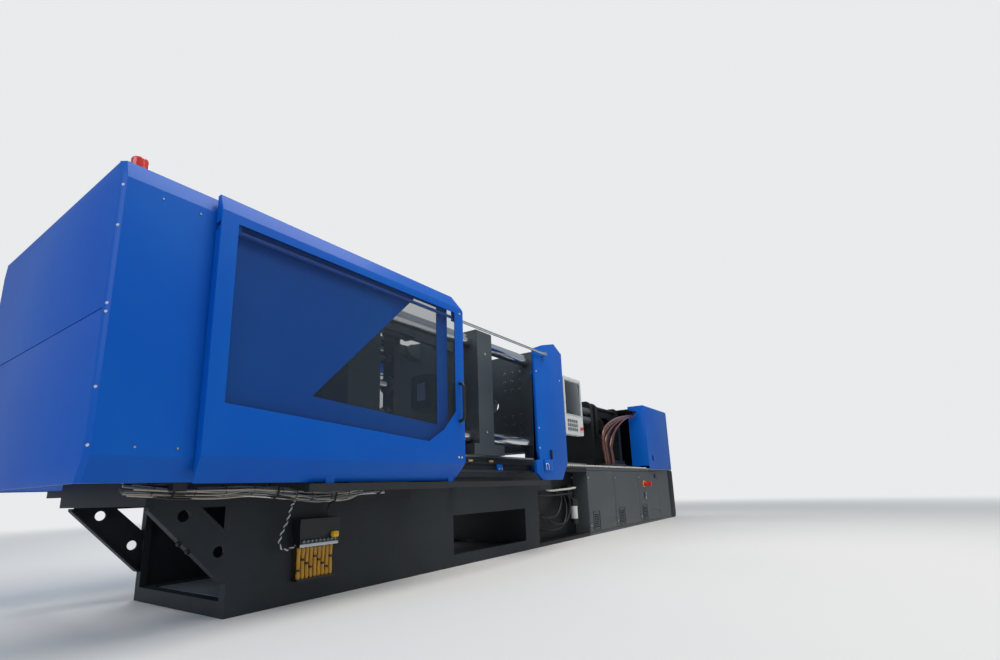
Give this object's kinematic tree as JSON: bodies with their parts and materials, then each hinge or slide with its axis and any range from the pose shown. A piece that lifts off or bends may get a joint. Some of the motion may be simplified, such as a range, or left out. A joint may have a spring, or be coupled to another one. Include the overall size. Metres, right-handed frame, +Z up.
{
  "type": "injection moulding machine",
  "caption": "Horizontal injection moulding machine with a double toggle clamp, sliding guard doors, tie bars and a carriage-mounted screw unit.",
  "frame": {"origin": "floor level, at the middle of the whole machine's box", "axes": "+X from the clamp end to the injection end, -Y towards the operator, +Z up"},
  "size_m": [9.416, 2.122, 2.24],
  "materials": {
    "bed_paint": "dark grey textured powder coat",
    "frame_paint": "dark grey powder coat",
    "cabinet_paint": "grey powder coat",
    "black_paint": "black powder coat",
    "blue_paint": "smooth satin blue powder coat",
    "platen_paint": "grey machine enamel on castings",
    "machined_steel": "ground steel",
    "chrome_bar": "hard chromed bars and rods",
    "link_steel": "dark phosphated links",
    "tread_metal": "raised tread plate",
    "tinted_pane": "smoke-tinted polycarbonate",
    "black_plastic": "moulded black",
    "grey_plastic": "moulded light grey",
    "red_plastic": "moulded red",
    "amber_plastic": "clear amber tubes",
    "copper_hose": "corrugated copper-brown conduit",
    "cable_rubber": "grey cable sheath",
    "heater_metal": "stainless heater bands"
  },
  "bodies": {
    "root": {"clamp_bed": "bed_paint", "clamp_ways": "machined_steel", "cover_beams": "frame_paint", "cabinet_frame": "frame_paint", "fixed_platen": "platen_paint", "tie_bars": "chrome_bar", "front_nuts": "link_steel", "end_cover_lower": "blue_paint", "end_cover_upper": "blue_paint", "front_cover": "blue_paint", "front_cover_window": "tinted_pane", "rear_cover": "blue_paint", "roof_strip": "blue_paint", "beacon": "red_plastic", "front_door_guides": "machined_steel", "rear_door_guides": "machined_steel", "front_post_cover": "blue_paint", "rear_post_cover": "blue_paint", "tread_plate": "tread_metal", "injection_rails": "machined_steel", "injection_cover": "blue_paint", "hose_bundle": "copper_hose", "cabinet_end_post": "black_paint", "terminal_arm": "black_paint", "flow_unit": "black_plastic", "flow_tubes": "amber_plastic", "cable_loom": "cable_rubber", "recess_hydraulics": "black_plastic"},
    "tail": {"tail_stock": "platen_paint", "rear_nuts": "link_steel", "clamp_cylinder": "black_paint"},
    "rear_link_up": {"rear_link_upper": "link_steel"},
    "rear_link_low": {"rear_link_lower": "link_steel"},
    "front_link_up": {"front_link_upper": "link_steel"},
    "front_link_low": {"front_link_lower": "link_steel"},
    "cross_link_up": {"cross_link_upper": "link_steel"},
    "cross_link_low": {"cross_link_lower": "link_steel"},
    "crosshead_body": {"crosshead": "link_steel", "piston_rod": "chrome_bar"},
    "platen": {"moving_platen": "platen_paint", "ejector_housing": "black_paint"},
    "ejector": {"ejector_plate": "machined_steel"},
    "front_door_body": {"operator_door": "blue_paint", "operator_door_window": "tinted_pane", "operator_door_handle": "black_plastic"},
    "rear_door_body": {"rear_door": "blue_paint", "rear_door_window": "tinted_pane"},
    "injection_carriage": {"carriage": "platen_paint", "barrel": "link_steel", "heater_bands": "heater_metal", "nozzle": "machined_steel", "injection_cylinders": "platen_paint"},
    "drive_body": {"injection_drive": "black_paint"},
    "screw_body": {"screw": "chrome_bar"},
    "door_1": {"cabinet_door_1": "cabinet_paint"},
    "door_2": {"cabinet_door_2": "cabinet_paint"},
    "door_3": {"cabinet_door_3": "cabinet_paint"},
    "switch_body": {"main_switch": "red_plastic"},
    "terminal_body": {"terminal": "grey_plastic"},
    "stop_body": {"stop_button": "red_plastic"}
  },
  "joints": [
    {"name": "mould_height_slide", "type": "slide", "parent": "root", "child": "tail", "axis": [1, 0, 0], "range_m": [0, 0.35]},
    {"name": "rear_link_up_hinge", "type": "hinge", "parent": "tail", "child": "rear_link_up", "pos_m": [-2.56, 0, 2.075], "axis": [0, 1, 0], "range_deg": [0, 70]},
    {"name": "front_link_up_hinge", "type": "hinge", "parent": "rear_link_up", "child": "front_link_up", "pos_m": [-2.14, 0, 2.075], "axis": [0, 1, 0], "range_deg": [-140, 0]},
    {"name": "platen_hinge", "type": "hinge", "parent": "front_link_up", "child": "platen", "pos_m": [-1.72, 0, 2.075], "axis": [0, 1, 0], "range_deg": [0, 70]},
    {"name": "rear_link_low_hinge", "type": "hinge", "parent": "tail", "child": "rear_link_low", "pos_m": [-2.56, 0, 1.135], "axis": [0, 1, 0], "range_deg": [-70, 0]},
    {"name": "front_link_low_hinge", "type": "hinge", "parent": "rear_link_low", "child": "front_link_low", "pos_m": [-2.14, 0, 1.135], "axis": [0, 1, 0], "range_deg": [0, 140]},
    {"name": "cross_link_up_hinge", "type": "hinge", "parent": "rear_link_up", "child": "cross_link_up", "pos_m": [-2.36195, 0, 2.04717], "axis": [0, 1, 0], "range_deg": [-140, 0]},
    {"name": "crosshead_hinge", "type": "hinge", "parent": "cross_link_up", "child": "crosshead_body", "pos_m": [-2.16389, 0, 2.075], "axis": [0, 1, 0], "range_deg": [0, 70]},
    {"name": "cross_link_low_hinge", "type": "hinge", "parent": "rear_link_low", "child": "cross_link_low", "pos_m": [-2.36195, 0, 1.16284], "axis": [0, 1, 0], "range_deg": [0, 140]},
    {"name": "ejector_slide", "type": "slide", "parent": "platen", "child": "ejector", "axis": [1, 0, 0], "range_m": [0, 0.13]},
    {"name": "front_door_slide", "type": "slide", "parent": "root", "child": "front_door_body", "axis": [1, 0, 0], "range_m": [0, 1.3]},
    {"name": "rear_door_slide", "type": "slide", "parent": "root", "child": "rear_door_body", "axis": [-1, 0, 0], "range_m": [0, 1.3]},
    {"name": "carriage_slide", "type": "slide", "parent": "root", "child": "injection_carriage", "axis": [-1, 0, 0], "range_m": [0, 0.45]},
    {"name": "injection_slide", "type": "slide", "parent": "injection_carriage", "child": "drive_body", "axis": [1, 0, 0], "range_m": [0, 0.35]},
    {"name": "screw_turn", "type": "hinge", "parent": "drive_body", "child": "screw_body", "pos_m": [1.66, 0, 1.605], "axis": [1, 0, 0], "continuous": true},
    {"name": "cabinet_door_1_hinge", "type": "hinge", "parent": "root", "child": "door_1", "pos_m": [1.695, -0.559, 0.432], "axis": [0, 0, 1], "range_deg": [0, 110]},
    {"name": "cabinet_door_2_hinge", "type": "hinge", "parent": "root", "child": "door_2", "pos_m": [2.715, -0.559, 0.432], "axis": [0, 0, 1], "range_deg": [0, 110]},
    {"name": "cabinet_door_3_hinge", "type": "hinge", "parent": "root", "child": "door_3", "pos_m": [3.725, -0.559, 0.432], "axis": [0, 0, 1], "range_deg": [0, 110]},
    {"name": "main_switch_turn", "type": "hinge", "parent": "door_3", "child": "switch_body", "pos_m": [3.017, -0.569, 0.63], "axis": [0, 1, 0], "range_deg": [0, 90]},
    {"name": "terminal_swivel", "type": "hinge", "parent": "root", "child": "terminal_body", "pos_m": [-0.365, -0.785, 1.54], "axis": [0, 0, -1], "range_deg": [0, 90]},
    {"name": "stop_button_press", "type": "slide", "parent": "terminal_body", "child": "stop_body", "axis": [0, 1, 0], "range_m": [0, 0.005], "stiffness_N_per_m": 2000}
  ],
  "couplings": [
    {"joint": "front_link_up_hinge", "follows": "rear_link_up_hinge", "ratio": -2},
    {"joint": "platen_hinge", "follows": "rear_link_up_hinge", "ratio": 1},
    {"joint": "rear_link_low_hinge", "follows": "rear_link_up_hinge", "ratio": -1},
    {"joint": "front_link_low_hinge", "follows": "rear_link_up_hinge", "ratio": 2},
    {"joint": "cross_link_up_hinge", "follows": "rear_link_up_hinge", "ratio": -2},
    {"joint": "crosshead_hinge", "follows": "rear_link_up_hinge", "ratio": 1},
    {"joint": "cross_link_low_hinge", "follows": "rear_link_up_hinge", "ratio": 2}
  ]
}
